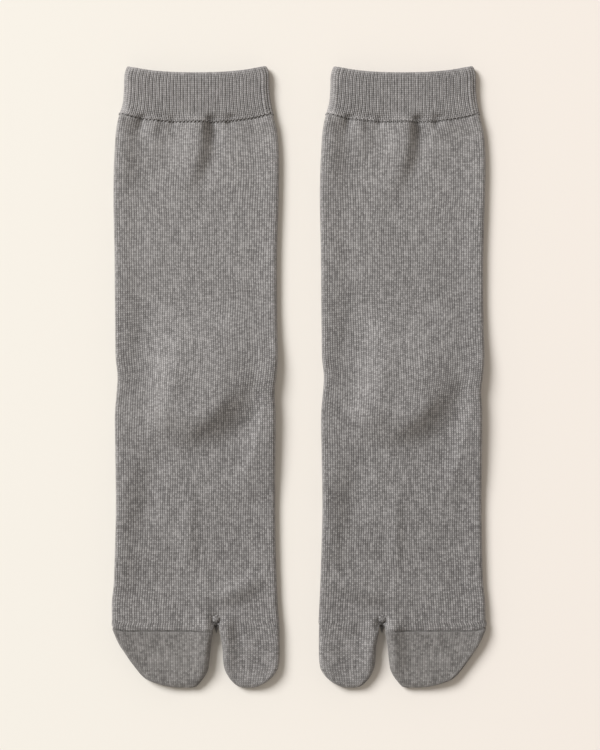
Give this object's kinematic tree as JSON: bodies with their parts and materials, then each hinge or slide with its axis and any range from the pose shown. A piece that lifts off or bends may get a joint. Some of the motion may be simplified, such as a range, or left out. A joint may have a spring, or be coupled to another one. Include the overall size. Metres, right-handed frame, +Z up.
{
  "type": "pair of tabi socks",
  "caption": "Crew-height knitted tabi socks with ribbed cuffs and a split big toe, a right and a left one laid flat side by side.",
  "frame": {"origin": "on the surface the socks lie on, under the middle of the pair's outline", "axes": "+Z up off the surface, +Y towards the cuffs (toes towards -Y), +X towards the left sock"},
  "size_m": [0.1928, 0.3198, 0.0119],
  "materials": {
    "heather_rib": "matt grey heather 1x1 rib knit, doubled",
    "heather_knit": "matt grey heather plain knit",
    "heather_toe": "matt grey heather plain knit, slightly denser, with a linked seam"
  },
  "bodies": {
    "root": {"right_cuff": "heather_rib", "right_leg_foot": "heather_knit", "right_heel": "heather_knit", "right_toe_cap": "heather_toe", "left_cuff": "heather_rib", "left_leg_foot": "heather_knit", "left_heel": "heather_knit", "left_toe_cap": "heather_toe"}
  },
  "joints": []
}
